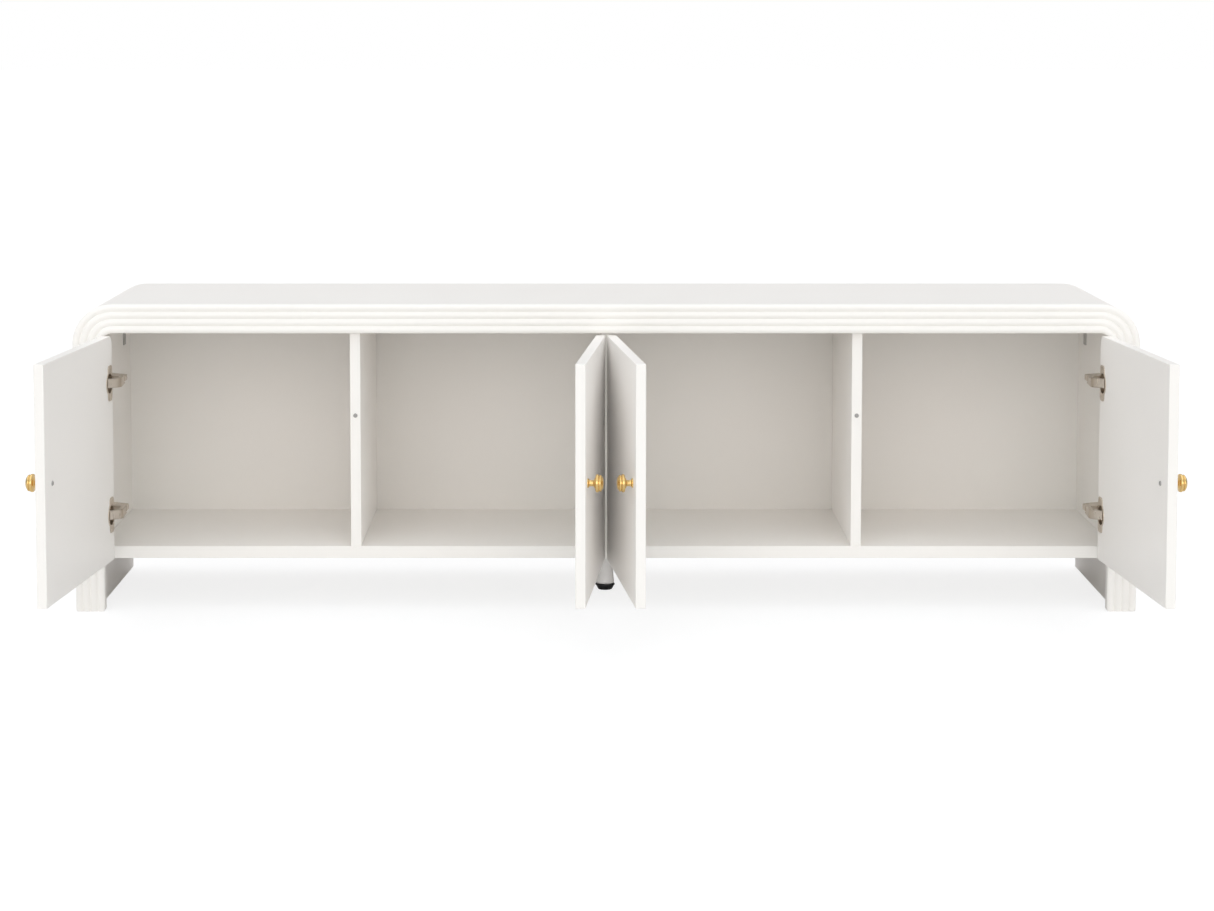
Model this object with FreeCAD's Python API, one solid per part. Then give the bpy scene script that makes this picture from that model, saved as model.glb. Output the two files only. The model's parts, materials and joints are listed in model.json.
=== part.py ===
"""Low TV stand with four doors and a rounded, reeded front frame.

Millimetres, +Z up, +X to the right, the front faces -Y. The origin is on the floor under the middle of the
cabinet, where the middle support's glide stands. Every node is built in its place with the doors open, which is
how the stand rests: the outer doors stand past square to the front and the inner doors just short of it.
"""

import math
import os

import FreeCAD
import Part
from FreeCAD import Vector

# ---- driving dimensions -------------------------------------------------------------------------------------

WIDTH = 1800.0
HEIGHT = 524.0
DEPTH = 400.0
SHELL = 35.5            # thickness of the top and sides
OUTER_RADIUS = 68.0     # rounding where the top turns into the sides

FRAME_WIDTH = 49.0      # reeded front frame, seen from the front
FRAME_DEPTH = 19.5
REED_COUNT = 4
REED_RISE = 2.4         # how far each reed stands out of the grooves beside it
TOE_RADIUS = 4.0        # rounding of the sides' lower edges

BOARD = 17.5            # partitions
FLOOR_TOP = 109.0
FLOOR_BOARD = 20.5
BACK_BOARD = 5.0
BACK_GROOVE = 8.0       # how far the back reaches into its rebate

DOOR_BOARD = 16.0
DOOR_BOTTOM = 90.5
DOOR_TOP = 472.0
DOOR_GAP = 2.5
DOOR_EDGE = 1.2         # softened edges
DOOR_CORNER = 16.0      # rounding of the outer doors' upper corners beside the frame's rounded corners
OPEN_ANGLES = {         # degrees from shut, as the stand rests
    "left_outer": 95.0,
    "left_inner": 85.4,
    "right_inner": 84.4,
    "right_outer": 94.2,
}

HINGE_INSET = 79.0      # hinge centre from the door's upper and lower edges
CUP_RADIUS = 17.5
CUP_DEPTH = 11.5
CUP_WALL = 1.0
CUP_FROM_EDGE = 22.0
FLANGE_HEIGHT = 60.0
FLANGE_WIDTH = 26.0
FLANGE_START = 5.0
FLANGE_SCREW_X = 12.0
FLANGE_SHEET = 1.2
FLANGE_SCREW_SPACING = 48.0
ARM_HEIGHT = 16.0
ARM_THICKNESS = 6.4
ARM_TIP_U = 20.5        # where the arm ends in the open door's cup, from the hinge edge
ARM_TIP_DEPTH = 1.6     # and from the inner face
TONGUE_HALF = 4.4       # half the height of the plate's tongue, inside the arm's fork
TONGUE_CLEAR = 9.0
PIVOT_IN = 26.5         # hinge arm's pin, from the door's pivot, along X
PIVOT_BACK = 43.5       # and behind it
PIN_RADIUS = 2.5
PIN_GAP = 0.08
PLATE_LENGTH = 52.0
PLATE_SHEET = 2.5
PLATE_WING = 46.0
PLATE_SCREW_Y = 70.0    # the plate's wings, behind the door's pivot

KNOB_FROM_EDGE = 40.0
KNOB_SCREW_RADIUS = 2.0

SUPPORT_RADIUS = 15.0
GLIDE_TOP_RADIUS = 17.0
GLIDE_FOOT_RADIUS = 12.5
GLIDE_HEIGHT = 11.0
GLIDE_STEM_RADIUS = 4.0
GLIDE_STEM_LENGTH = 22.0
HANGER_RADIUS = 3.0
HANGER_REACH = 20.0     # of the hanger bolt into the leg

DOWEL_RADIUS = 4.0
DOWEL_LENGTH = 30.0
STRAP_LEG = 36.0        # of the bent straps inside the rounded corners
STRAP_WIDTH = 20.0
STRAP_SHEET = 2.0
STRAP_SCREW_LENGTH = 16.0
BUMPER_Z = 333.0

# ---- what follows from them ---------------------------------------------------------------------------------

FRONT = -DEPTH / 2
REAR = DEPTH / 2
HALF = WIDTH / 2
SIDE_INNER = HALF - SHELL
CEILING = HEIGHT - SHELL
OPENING = HALF - FRAME_WIDTH                 # half the width between the frame's stiles
SHELL_FRONT = FRONT + FRAME_DEPTH
BACK_FACE = REAR - BACK_BOARD                # the back board's inner face
CORNER_X = HALF - OUTER_RADIUS
CORNER_Z = HEIGHT - OUTER_RADIUS
FLOOR_UNDER = FLOOR_TOP - FLOOR_BOARD
DOOR_FRONT = FRONT + 0.5
DOOR_WIDTH = (OPENING - 2.5 * DOOR_GAP) / 2
DOOR_MIDDLE = (DOOR_TOP + DOOR_BOTTOM) / 2
PARTITION_X = OPENING - DOOR_GAP - DOOR_WIDTH - DOOR_GAP / 2
HINGE_HEIGHTS = (DOOR_BOTTOM + HINGE_INSET, DOOR_TOP - HINGE_INSET)
STRAP_ROWS = (FRONT + 80, FRONT + 325)
UP = Vector(0, 0, 1)

# name: hinge side (-1 has its hinges on the left), X of the hinge edge, opening angle, X of what its hinges are on
DOORS = {
    "left_outer": (-1, -OPENING + DOOR_GAP, OPEN_ANGLES["left_outer"], -OPENING),
    "left_inner": (1, -DOOR_GAP / 2, OPEN_ANGLES["left_inner"], -BOARD / 2),
    "right_inner": (-1, DOOR_GAP / 2, OPEN_ANGLES["right_inner"], BOARD / 2),
    "right_outer": (1, OPENING - DOOR_GAP, OPEN_ANGLES["right_outer"], OPENING),
}


# ---- small helpers ------------------------------------------------------------------------------------------

def box(x0, x1, y0, y1, z0, z1):
    """A block between two corners, in any order of each pair."""
    low = Vector(min(x0, x1), min(y0, y1), min(z0, z1))
    return Part.makeBox(abs(x1 - x0), abs(y1 - y0), abs(z1 - z0), low)


def rod(radius, start, direction, length):
    return Part.makeCylinder(radius, length, start, direction)


def cone(radius_a, radius_b, start, direction, length):
    return Part.makeCone(radius_a, radius_b, length, start, direction)


def group(shapes):
    return Part.makeCompound(shapes)


def cut_all(shape, tools):
    return shape.cut(group(tools)) if tools else shape


def mirrored(shape):
    """The same piece on the other side of the cabinet."""
    return shape.mirror(Vector(0, 0, 0), Vector(1, 0, 0))


def prism(points, direction):
    """A solid from a closed outline of straight sides."""
    face = Part.Face(Part.makePolygon([*points, points[0]]))
    return face.extrude(direction)


def turned(profile, base, direction):
    """A turned solid: profile lists (radius, height) from one end to the other along direction."""
    outline = [Vector(0, 0, profile[0][1]), *[Vector(r, 0, h) for r, h in profile], Vector(0, 0, profile[-1][1])]
    face = Part.Face(Part.makePolygon([*outline, outline[0]]))
    solid = face.revolve(Vector(0, 0, 0), UP, 360)
    solid.Placement = FreeCAD.Placement(base, FreeCAD.Rotation(UP, direction))
    return solid


def screw(start, direction, length, radius, head_radius, head_height):
    """A countersunk screw whose head's flat face is at start and whose point lies along direction."""
    head = cone(head_radius, radius, start, direction, head_height)
    shank = rod(radius, start + direction * head_height, direction, length - head_height)
    return head.fuse(shank).removeSplitter()


# ---- the reeded front frame ---------------------------------------------------------------------------------

def reed_section():
    """Cross-section of the frame in (across, depth): across runs from the opening to the outside edge."""
    pitch = FRAME_WIDTH / REED_COUNT
    groove = FRONT + REED_RISE
    edges = []
    for index in range(REED_COUNT):
        start = Vector(index * pitch, groove, 0)
        crest = Vector((index + 0.5) * pitch, FRONT, 0)
        end = Vector((index + 1) * pitch, groove, 0)
        edges.append(Part.Arc(start, crest, end).toShape())
    inner_front, inner_back = Vector(0, groove, 0), Vector(0, SHELL_FRONT, 0)
    outer_front, outer_back = Vector(FRAME_WIDTH, groove, 0), Vector(FRAME_WIDTH, SHELL_FRONT, 0)
    edges.append(Part.LineSegment(outer_front, outer_back).toShape())
    edges.append(Part.LineSegment(outer_back, inner_back).toShape())
    edges.append(Part.LineSegment(inner_back, inner_front).toShape())
    return Part.Face(Part.Wire(edges))


def front_stile():
    """The right-hand upright of the frame, which is also the front of the side's foot."""
    face = reed_section()
    face.translate(Vector(OPENING, 0, 0))
    upright = face.extrude(UP * CORNER_Z)
    return upright.common(toe_block(OPENING, FRONT, SHELL_FRONT))


def front_rail():
    """The rail over the doors."""
    face = reed_section()
    face.rotate(Vector(0, 0, 0), Vector(0, 1, 0), -90)
    face.translate(Vector(-CORNER_X, 0, HEIGHT - FRAME_WIDTH))
    return face.extrude(Vector(2 * CORNER_X, 0, 0))


def front_corner():
    """A quarter turn of the same section, from the right-hand stile up to the rail."""
    face = reed_section()
    face.translate(Vector(OPENING, 0, CORNER_Z))
    return face.revolve(Vector(CORNER_X, 0, CORNER_Z), Vector(0, -1, 0), 90)


# ---- the shell ----------------------------------------------------------------------------------------------

def toe_block(inner, front, rear):
    """An upright block from inner to the cabinet's side, with its two lower edges rounded."""
    block = box(inner, HALF, front, rear, 0, CORNER_Z)
    lower = [
        edge for edge in block.Edges
        if abs(edge.CenterOfMass.z) < 0.01 and abs(edge.CenterOfMass.y - (front + rear) / 2) < 0.01
    ]
    return block.makeFillet(TOE_RADIUS, lower)


def side_panel():
    panel = toe_block(SIDE_INNER, SHELL_FRONT, REAR)
    rebate = box(SIDE_INNER, SIDE_INNER + BACK_GROOVE, BACK_FACE, REAR, FLOOR_UNDER, CORNER_Z)
    return cut_all(panel.cut(rebate), floor_dowels(1))


def corner_block():
    """The rounded corner between the right-hand side and the top."""
    ring = ring_sector(OUTER_RADIUS, OUTER_RADIUS - SHELL, SHELL_FRONT, REAR)
    rebate = ring_sector(OUTER_RADIUS - SHELL + BACK_GROOVE, OUTER_RADIUS - SHELL, BACK_FACE, REAR)
    return ring.cut(rebate)


def ring_sector(outer, inner, front, rear):
    """A quarter ring about the corner's centre line, from the side up to the top."""
    centre = Vector(CORNER_X, front, CORNER_Z)
    back = Vector(0, 1, 0)
    length = rear - front
    quarter = box(CORNER_X, CORNER_X + outer, front, rear, CORNER_Z, CORNER_Z + outer)
    return rod(outer, centre, back, length).cut(rod(inner, centre, back, length)).common(quarter)


def top_panel():
    panel = box(-CORNER_X, CORNER_X, SHELL_FRONT, REAR, CEILING, HEIGHT)
    rebate = box(-CORNER_X, CORNER_X, BACK_FACE, REAR, CEILING, CEILING + BACK_GROOVE)
    return cut_all(panel.cut(rebate), partition_dowels(CEILING))


def floor_panel():
    panel = box(-SIDE_INNER, SIDE_INNER, SHELL_FRONT, BACK_FACE, FLOOR_UNDER, FLOOR_TOP)
    inserts = [rod(5.0, Vector(0, 0, FLOOR_UNDER), UP, 15.0)]
    return cut_all(panel, floor_dowels(1) + floor_dowels(-1) + partition_dowels(FLOOR_TOP) + inserts)


def partition(x):
    board = box(x - BOARD / 2, x + BOARD / 2, SHELL_FRONT, BACK_FACE, FLOOR_TOP, CEILING)
    return cut_all(board, partition_dowels(CEILING) + partition_dowels(FLOOR_TOP))


def back_panel():
    """One board that fills the rebates of the sides, corners and top, and covers the floor's rear edge."""
    reach = SIDE_INNER + BACK_GROOVE
    inner = OUTER_RADIUS - SHELL + BACK_GROOVE
    board = box(-reach, reach, BACK_FACE, REAR, FLOOR_UNDER, CEILING + BACK_GROOVE)
    centre = Vector(CORNER_X, BACK_FACE, CORNER_Z)
    waste = box(CORNER_X, reach, BACK_FACE, REAR, CORNER_Z, CEILING + BACK_GROOVE)
    waste = waste.cut(rod(inner, centre, Vector(0, 1, 0), BACK_BOARD))
    return board.cut(waste).cut(mirrored(waste)).cut(group(back_screws()))


# ---- dowels, screws and straps of the shell -----------------------------------------------------------------

def dowel_rows():
    """Where the four dowels of each joint sit, from front to back."""
    reach = BACK_FACE - SHELL_FRONT
    return [SHELL_FRONT + reach * share for share in (0.12, 0.37, 0.63, 0.88)]


def floor_dowels(side):
    start = SIDE_INNER - DOWEL_LENGTH / 2
    middle = (FLOOR_TOP + FLOOR_UNDER) / 2
    return [
        rod(DOWEL_RADIUS, Vector(side * start, y, middle), Vector(side, 0, 0), DOWEL_LENGTH)
        for y in dowel_rows()
    ]


def partition_dowels(level):
    """Dowels of the three partitions at the floor's top or at the ceiling, half in each board."""
    half_in = DOWEL_LENGTH / 2
    start = level - half_in
    return [
        rod(DOWEL_RADIUS, Vector(x, y, start), UP, DOWEL_LENGTH)
        for x in (-PARTITION_X, 0, PARTITION_X)
        for y in dowel_rows()
    ]


def dowels():
    return floor_dowels(1) + floor_dowels(-1) + partition_dowels(FLOOR_TOP) + partition_dowels(CEILING)


def back_screws():
    """Small countersunk screws through the back board, into the partitions and the floor."""
    inward = Vector(0, -1, 0)
    spots = [
        (x, z)
        for x in (-PARTITION_X, 0, PARTITION_X)
        for z in (FLOOR_TOP + 50, DOOR_MIDDLE, CEILING - 50)
    ]
    spots += [(side * x, FLOOR_TOP - 10) for side in (-1, 1) for x in (210, 640, 840)]
    return [screw(Vector(x, REAR, z), inward, 16.0, 1.6, 3.4, 1.8) for x, z in spots]


def corner_straps():
    """Two bent steel straps that tie the right-hand corner block to the side and the top."""
    inner = OUTER_RADIUS - SHELL
    pieces = []
    for y in STRAP_ROWS:
        front, rear = y - STRAP_WIDTH / 2, y + STRAP_WIDTH / 2
        bend = ring_sector(inner, inner - STRAP_SHEET, front, rear)
        upright = box(SIDE_INNER - STRAP_SHEET, SIDE_INNER, front, rear, CORNER_Z - STRAP_LEG, CORNER_Z)
        level = box(CORNER_X - STRAP_LEG, CORNER_X, front, rear, CEILING - STRAP_SHEET, CEILING)
        pieces.append(bend.fuse([upright, level]).removeSplitter().cut(group(strap_screws(y))))
    return pieces


def strap_screws(y):
    """The two screws of one strap, one into the side and one into the top."""
    reach = STRAP_LEG * 0.6
    into_side = Vector(SIDE_INNER - STRAP_SHEET, y, CORNER_Z - reach)
    into_top = Vector(CORNER_X - reach, y, CEILING - STRAP_SHEET)
    return [
        screw(into_side, Vector(1, 0, 0), STRAP_SCREW_LENGTH, 1.6, 3.2, 1.8),
        screw(into_top, UP, STRAP_SCREW_LENGTH, 1.6, 3.2, 1.8),
    ]


# ---- the middle support -------------------------------------------------------------------------------------

def support_leg():
    """A slim turned leg under the floor, a little wider at its lower end."""
    radius = SUPPORT_RADIUS
    profile = [
        (radius - 0.5, GLIDE_HEIGHT),
        (radius + 1.0, GLIDE_HEIGHT + 1.5),
        (radius + 1.0, GLIDE_HEIGHT + 5.0),
        (radius - 0.6, GLIDE_HEIGHT + 14.0),
        (radius - 1.0, GLIDE_HEIGHT + 40.0),
        (radius - 0.4, FLOOR_UNDER - 3.0),
        (radius - 1.0, FLOOR_UNDER),
    ]
    leg = turned(profile, Vector(0, 0, 0), UP)
    stem_bore = rod(GLIDE_STEM_RADIUS + PIN_GAP, Vector(0, 0, GLIDE_HEIGHT), UP, GLIDE_STEM_LENGTH + 6)
    bolt_bore = rod(HANGER_RADIUS, Vector(0, 0, FLOOR_UNDER - HANGER_REACH), UP, HANGER_REACH)
    return leg.cut(stem_bore).cut(bolt_bore)


def hanger_bolt():
    """Double-ended bolt between the leg and the insert in the floor."""
    return rod(HANGER_RADIUS, Vector(0, 0, FLOOR_UNDER - HANGER_REACH), UP, HANGER_REACH + 14.0)


def threaded_insert():
    sleeve = rod(5.0, Vector(0, 0, FLOOR_UNDER), UP, 15.0)
    return sleeve.cut(rod(HANGER_RADIUS, Vector(0, 0, FLOOR_UNDER), UP, 14.0))


def glide_pad():
    """The black foot that turns on its stem to level the middle of the cabinet."""
    profile = [
        (GLIDE_FOOT_RADIUS - 1.0, 0),
        (GLIDE_FOOT_RADIUS, 1.0),
        (GLIDE_TOP_RADIUS - 1.2, 7.0),
        (GLIDE_TOP_RADIUS, 8.0),
        (GLIDE_TOP_RADIUS, GLIDE_HEIGHT - 1.1),
        (GLIDE_TOP_RADIUS - 0.8, GLIDE_HEIGHT - 0.3),
    ]
    pad = turned(profile, Vector(0, 0, 0), UP)
    return pad.cut(rod(GLIDE_STEM_RADIUS, Vector(0, 0, 3), UP, GLIDE_HEIGHT))


def glide_stem():
    return rod(GLIDE_STEM_RADIUS, Vector(0, 0, 3), UP, GLIDE_HEIGHT - 3 + GLIDE_STEM_LENGTH)


# ---- doors --------------------------------------------------------------------------------------------------
# A door's own pieces are made shut, with its hinge edge's front corner at x = 0, y = 0 and the door running
# along +X, and then swung and put in place.

def place(shape, name, swung):
    """Moves a piece from the door's own frame to the cabinet; swung opens it with the door."""
    side, edge_x, angle, _ = DOORS[name]
    moved = shape.copy()
    if swung:
        moved.rotate(Vector(0, 0, 0), UP, -angle)
    if side > 0:
        moved = mirrored(moved)
    moved.translate(Vector(edge_x, DOOR_FRONT, 0))
    return moved


def swung_point(u, v, angle):
    """Where a point of the shut door goes when it opens by angle, in the door's own frame."""
    a = math.radians(angle)
    return Vector(u * math.cos(a) + v * math.sin(a), v * math.cos(a) - u * math.sin(a), 0)


def cup_bore(z, radius):
    return rod(radius, Vector(CUP_FROM_EDGE, DOOR_BOARD - CUP_DEPTH, z), Vector(0, 1, 0), CUP_DEPTH)


def cup_screws(z):
    face = DOOR_BOARD + FLANGE_SHEET
    return [
        screw(Vector(FLANGE_SCREW_X, face, z + side * FLANGE_SCREW_SPACING / 2), Vector(0, -1, 0), 12, 1.7, 3.6, 1.9)
        for side in (-1, 1)
    ]


def knob_screw():
    """Machine screw through the door into the knob, with its round head on the inside."""
    u, z = DOOR_WIDTH - KNOB_FROM_EDGE, DOOR_MIDDLE
    head = turned(
        [(4.0, 0), (4.0, 0.8), (3.2, 1.7), (1.9, 2.2), (0.8, 2.3)],
        Vector(u, DOOR_BOARD, z),
        Vector(0, 1, 0),
    )
    shank = rod(KNOB_SCREW_RADIUS, Vector(u, DOOR_BOARD, z), Vector(0, -1, 0), DOOR_BOARD + 8.0)
    slot = box(u - 3.0, u + 3.0, DOOR_BOARD + 1.4, DOOR_BOARD + 3, z - 0.5, z + 0.5)
    cross = box(u - 0.5, u + 0.5, DOOR_BOARD + 1.4, DOOR_BOARD + 3, z - 3.0, z + 3.0)
    return head.fuse(shank).cut(slot).cut(cross)


def door_board(rounded):
    """A plain slab; rounded gives its upper hinge-side corner the larger radius."""
    board = box(0, DOOR_WIDTH, 0, DOOR_BOARD, DOOR_BOTTOM, DOOR_TOP)
    if rounded:
        corner = Vector(0, DOOR_BOARD / 2, DOOR_TOP)
        nearest = [edge for edge in board.Edges if edge.CenterOfMass.sub(corner).Length < 0.01]
        board = board.makeFillet(DOOR_CORNER, nearest)
    board = board.makeFillet(DOOR_EDGE, board.Edges)
    tools = [cup_bore(z, CUP_RADIUS) for z in HINGE_HEIGHTS]
    for z in HINGE_HEIGHTS:
        tools += cup_screws(z)
    spot = Vector(DOOR_WIDTH - KNOB_FROM_EDGE, 0, DOOR_MIDDLE)
    tools.append(rod(KNOB_SCREW_RADIUS, spot, Vector(0, 1, 0), DOOR_BOARD))
    return cut_all(board, tools)


def hinge_cup(z):
    """Pressed pan with its flange on the door's inner face."""
    mouth = Vector(CUP_FROM_EDGE, DOOR_BOARD, z)
    inward = Vector(0, 1, 0)
    plate = box(
        FLANGE_START, FLANGE_START + FLANGE_WIDTH, DOOR_BOARD, DOOR_BOARD + FLANGE_SHEET,
        z - FLANGE_HEIGHT / 2, z + FLANGE_HEIGHT / 2,
    )
    upright = [e for e in plate.Edges if abs(e.tangentAt(e.FirstParameter).y) > 0.9]
    plate = plate.makeFillet(7.0, upright)
    rim = rod(CUP_RADIUS + 2.0, mouth, inward, FLANGE_SHEET)
    hollow = rod(CUP_RADIUS - CUP_WALL, Vector(CUP_FROM_EDGE, DOOR_BOARD - CUP_DEPTH + CUP_WALL, z), inward, CUP_DEPTH + 3)
    return cup_bore(z, CUP_RADIUS).fuse([plate, rim]).removeSplitter().cut(hollow).cut(group(cup_screws(z)))


def knob():
    """Turned brass knob: foot, waist, bead, broad disc, groove, second ring and a low domed centre."""
    profile = [
        (7.4, 0), (7.4, 1.3), (6.6, 2.3), (5.1, 3.0), (4.8, 5.2), (4.9, 9.2), (5.9, 10.4), (8.0, 11.0),
        (8.3, 12.0), (10.0, 12.6), (13.4, 12.9), (14.3, 14.0), (14.3, 16.6), (13.6, 17.7), (12.4, 18.0),
        (12.2, 18.6), (13.0, 19.1), (13.2, 20.2), (12.6, 21.7), (10.8, 22.6), (10.2, 22.8), (9.8, 23.5),
        (7.6, 24.6), (4.0, 25.2), (1.2, 25.4),
    ]
    body = turned(profile, Vector(DOOR_WIDTH - KNOB_FROM_EDGE, 0, DOOR_MIDDLE), Vector(0, -1, 0))
    return body.cut(knob_screw())


# ---- hinge pieces on the cabinet ----------------------------------------------------------------------------

def thick_path(points, width, low, high):
    """A bar of even width that follows points in plan, with round corners and ends."""
    pieces = []
    for a, b in zip(points, points[1:]):
        run = b - a
        length = run.Length
        along = Part.makeBox(length, width, high - low, Vector(0, -width / 2, 0))
        along.rotate(Vector(0, 0, 0), UP, math.degrees(math.atan2(run.y, run.x)))
        along.translate(Vector(a.x, a.y, low))
        pieces.append(along)
    pieces += [rod(width / 2, Vector(p.x, p.y, low), UP, high - low) for p in points]
    return pieces[0].fuse(pieces[1:]).removeSplitter()


def hinge_arm(z, angle):
    """Cranked arm from its pin on the mounting plate, round the door's edge and into the cup."""
    tip = swung_point(ARM_TIP_U, DOOR_BOARD - ARM_TIP_DEPTH, angle)
    points = [Vector(PIVOT_IN, PIVOT_BACK, 0), Vector(PIVOT_IN + 2.0, 4.0, 0), Vector(PIVOT_IN + 1.0, -9.0, 0), tip]
    arm = thick_path(points, ARM_THICKNESS, z - ARM_HEIGHT / 2, z + ARM_HEIGHT / 2)
    fork = rod(TONGUE_CLEAR, Vector(PIVOT_IN, PIVOT_BACK, z - TONGUE_HALF - 0.4), UP, 2 * TONGUE_HALF + 0.8)
    pin = rod(PIN_RADIUS, Vector(PIVOT_IN, PIVOT_BACK, z - ARM_HEIGHT / 2), UP, ARM_HEIGHT)
    return arm.cut(fork).cut(pin)


def arm_pin(z):
    return rod(PIN_RADIUS, Vector(PIVOT_IN, PIVOT_BACK, z - ARM_HEIGHT / 2), UP, ARM_HEIGHT)


def plate_screws(z, offset):
    """The two screws through the plate's wings."""
    return [
        screw(Vector(offset + PLATE_SHEET, PLATE_SCREW_Y, z + side * 16.0), Vector(-1, 0, 0), 9.5, 1.7, 3.4, 1.8)
        for side in (-1, 1)
    ]


def mounting_plate(z, offset):
    """Cross-shaped plate on the side or partition, with the tongue that carries the arm's pin."""
    rear = PIVOT_BACK + PLATE_LENGTH
    base = box(offset, offset + PLATE_SHEET, PIVOT_BACK - 8, rear - 8, z - 6.5, z + 6.5)
    wing = box(offset, offset + PLATE_SHEET, PLATE_SCREW_Y - 6, PLATE_SCREW_Y + 6, z - PLATE_WING / 2, z + PLATE_WING / 2)
    across = [e for e in wing.Edges if abs(e.tangentAt(e.FirstParameter).x) > 0.9]
    wing = wing.makeFillet(5.0, across)
    outline = [
        Vector(offset, PIVOT_BACK + 7, z - TONGUE_HALF),
        Vector(PIVOT_IN - 3.5, PIVOT_BACK, z - TONGUE_HALF),
        Vector(PIVOT_IN + 3.5, PIVOT_BACK, z - TONGUE_HALF),
        Vector(PIVOT_IN + 3.5, PIVOT_BACK + 26, z - TONGUE_HALF),
        Vector(offset + 6, rear - 10, z - TONGUE_HALF),
        Vector(offset, rear - 10, z - TONGUE_HALF),
    ]
    web = prism(outline, UP * (2 * TONGUE_HALF))
    end = rod(4.6, Vector(PIVOT_IN, PIVOT_BACK, z - TONGUE_HALF), UP, 2 * TONGUE_HALF)
    plate = base.fuse([wing, web, end]).removeSplitter()
    bore = rod(PIN_RADIUS + PIN_GAP, Vector(PIVOT_IN, PIVOT_BACK, z - 20), UP, 40)
    return plate.cut(bore).cut(group(plate_screws(z, offset)))


def mount_offset(name):
    """How far the plate's seat is from the door's pivot, in the door's own frame."""
    side, edge_x, _, seat_x = DOORS[name]
    return -side * (seat_x - edge_x)


def at_hinges(make, names, *with_offset):
    """One fixed hinge piece, or list of pieces, at both hinges of each named door, in place."""
    pieces = []
    for name in names:
        for z in HINGE_HEIGHTS:
            made = make(z, mount_offset(name)) if with_offset else make(z)
            pieces += [place(piece, name, False) for piece in (made if isinstance(made, list) else [made])]
    return pieces


def hinge_packers():
    """Blocks that bring the sides out flush with the frame, behind the outer doors' hinges."""
    blocks = []
    for side, name in ((-1, "left_outer"), (1, "right_outer")):
        tools = at_hinges(plate_screws, [name], True)
        for z in HINGE_HEIGHTS:
            block = box(side * OPENING, side * SIDE_INNER, SHELL_FRONT, SHELL_FRONT + 84, z - 26, z + 26)
            blocks.append(cut_all(block, tools))
    return blocks


def door_bumpers():
    """Soft dots on the partitions' front edges, where the door pairs meet."""
    return [
        turned([(3.6, 0), (3.6, 1.4), (2.8, 2.3), (1.0, 2.6)], Vector(x, SHELL_FRONT, BUMPER_Z), Vector(0, -1, 0))
        for x in (-PARTITION_X, PARTITION_X)
    ]


# ---- every node ---------------------------------------------------------------------------------------------

def cabinet_nodes():
    inner_names = ["left_inner", "right_inner"]
    centre_tools = at_hinges(plate_screws, inner_names, True)
    names = list(DOORS)
    strap_set = corner_straps()
    strap_screw_set = [piece for y in STRAP_ROWS for piece in strap_screws(y)]
    side_holes = group(strap_screw_set)
    side, corner, stile, bend = side_panel().cut(side_holes), corner_block(), front_stile(), front_corner()
    top = top_panel().cut(side_holes).cut(mirrored(side_holes)).cut(group(back_screws()))
    return {
        "top_panel": top,
        "side_panel_right": side,
        "side_panel_left": mirrored(side),
        "corner_block_right": corner,
        "corner_block_left": mirrored(corner),
        "front_rail": front_rail(),
        "front_corner_right": bend,
        "front_corner_left": mirrored(bend),
        "front_stile_right": stile,
        "front_stile_left": mirrored(stile),
        "floor_panel": floor_panel().cut(group(back_screws())),
        "partition_left": partition(-PARTITION_X).cut(group(back_screws())),
        "partition_center": cut_all(partition(0).cut(group(back_screws())), centre_tools),
        "partition_right": partition(PARTITION_X).cut(group(back_screws())),
        "back_panel": back_panel(),
        "back_panel_screws": group(back_screws()),
        "assembly_dowels": group(dowels()),
        "corner_straps_right": group(strap_set),
        "corner_straps_left": mirrored(group(strap_set)),
        "corner_strap_screws": group(strap_screw_set + [mirrored(s) for s in strap_screw_set]),
        "support_leg": support_leg(),
        "support_hanger_bolt": hanger_bolt(),
        "support_insert": threaded_insert(),
        "glide_pad": glide_pad(),
        "glide_stem": glide_stem(),
        "hinge_packers": group(hinge_packers()),
        "hinge_plates": group(at_hinges(mounting_plate, names, True)),
        "hinge_plate_screws": group(at_hinges(plate_screws, names, True)),
        "door_bumpers": group(door_bumpers()),
    }


def door_nodes(name):
    angle = DOORS[name][2]
    arms = [place(hinge_arm(z, angle), name, False) for z in HINGE_HEIGHTS]
    pins = [place(arm_pin(z), name, False) for z in HINGE_HEIGHTS]
    cups = [place(hinge_cup(z), name, True) for z in HINGE_HEIGHTS]
    screws = [place(piece, name, True) for z in HINGE_HEIGHTS for piece in cup_screws(z)]
    return {
        f"door_{name}": place(door_board(name.endswith("outer")), name, True),
        f"hinge_cups_{name}": group(cups),
        f"cup_screws_{name}": group(screws),
        f"hinge_arms_{name}": group(arms),
        f"hinge_pins_{name}": group(pins),
        f"knob_{name}": place(knob(), name, True),
        f"knob_screw_{name}": place(knob_screw(), name, True),
    }


def main():
    os.makedirs("parts", exist_ok=True)
    nodes = cabinet_nodes()
    for name in DOORS:
        nodes.update(door_nodes(name))
    for name, shape in nodes.items():
        if not shape.isValid():
            print("not valid:", name)
        shape.exportStep(f"parts/{name}.step")
    print(len(nodes), "nodes,", sum(len(shape.Solids) for shape in nodes.values()), "solids")


main()
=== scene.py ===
"""Looks of a low TV stand with four doors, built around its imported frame.

Metres, +Z up, the front faces -Y. Small sizes are written in millimetres times MM.
"""

import json
import math

import bmesh
import bpy
from mathutils import Matrix, Vector


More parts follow.
